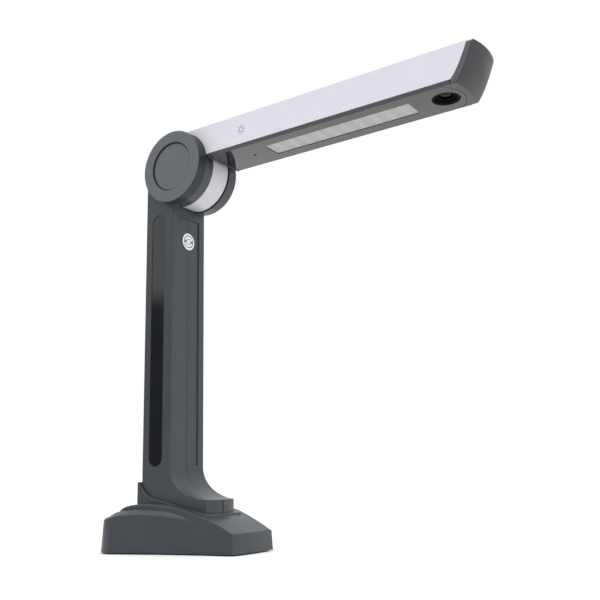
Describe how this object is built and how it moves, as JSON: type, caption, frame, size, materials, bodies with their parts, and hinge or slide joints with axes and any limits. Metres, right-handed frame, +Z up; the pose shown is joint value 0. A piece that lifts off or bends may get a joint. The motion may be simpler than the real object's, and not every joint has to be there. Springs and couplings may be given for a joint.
{
  "type": "document camera",
  "caption": "Folding desk document camera: weighted base, hollow column and a friction-hinged arm with a lens, a lamp strip and a microphone.",
  "frame": {"origin": "on the desk, straight under the hinge axis, at the underside of the rubber pad", "axes": "+Z up, +X across the object and along the hinge axis, -Y the way the open arm points"},
  "size_m": [0.0944, 0.3199, 0.3344],
  "materials": {
    "dark_plastic": "satin slate grey moulding",
    "black_plastic": "fine matt black moulding",
    "gloss_black": "polished near-black plastic",
    "white_plastic": "semi-gloss cool white moulding",
    "frosted": "frosted translucent plastic",
    "glass": "coated lens glass",
    "rubber": "matt black rubber",
    "label": "satin printed plastic",
    "steel": "zinc-plated steel",
    "nickel": "nickel-plated steel",
    "aluminium": "mill finish",
    "nylon": "natural plastic",
    "green_board": "solder-resist green board",
    "white_board": "white solder-resist board"
  },
  "bodies": {
    "stand": {"base_shell": "dark_plastic", "bottom_plate": "black_plastic", "anti_slip_pad": "rubber", "ballast_plate": "steel", "usb_board": "green_board", "usb_socket": "nickel", "base_screw_1": "steel", "base_screw_2": "steel", "base_screw_3": "steel", "base_screw_4": "steel", "column_screw_1": "steel", "column_screw_2": "steel", "column_screw_3": "steel", "column_screw_4": "steel", "column_shell_left": "dark_plastic", "column_shell_right": "dark_plastic", "side_inlay_left": "gloss_black", "side_inlay_right": "gloss_black", "round_label": "label", "column_spine": "steel", "hinge_strap_left": "steel", "hinge_strap_right": "steel", "hinge_shaft": "steel", "friction_washer_left": "nylon", "friction_washer_right": "nylon", "disc_spring": "steel", "hinge_nut": "steel", "hinge_cap_near": "dark_plastic", "cap_inset_disc": "dark_plastic", "hinge_cap_far": "dark_plastic"},
    "arm": {"hinge_drum": "white_plastic", "arm_cover": "white_plastic", "arm_tray": "dark_plastic", "underside_panel": "gloss_black", "led_diffuser": "frosted", "end_cap": "dark_plastic", "led_board": "white_board", "lens_bezel": "gloss_black", "lens_barrel": "black_plastic", "lens_glass": "glass", "board_screw_1": "steel", "board_screw_2": "steel", "rail_screw_1": "steel", "rail_screw_2": "steel", "camera_board": "green_board", "arm_rail": "aluminium", "camera_ribbon": "nylon", "microphone": "steel", "touch_sensor": "green_board"}
  },
  "joints": [
    {"name": "arm_fold", "type": "hinge", "parent": "stand", "child": "arm", "pos_m": [0, 0, 0.304], "axis": [1, 0, 0], "range_deg": [0, 90]}
  ]
}
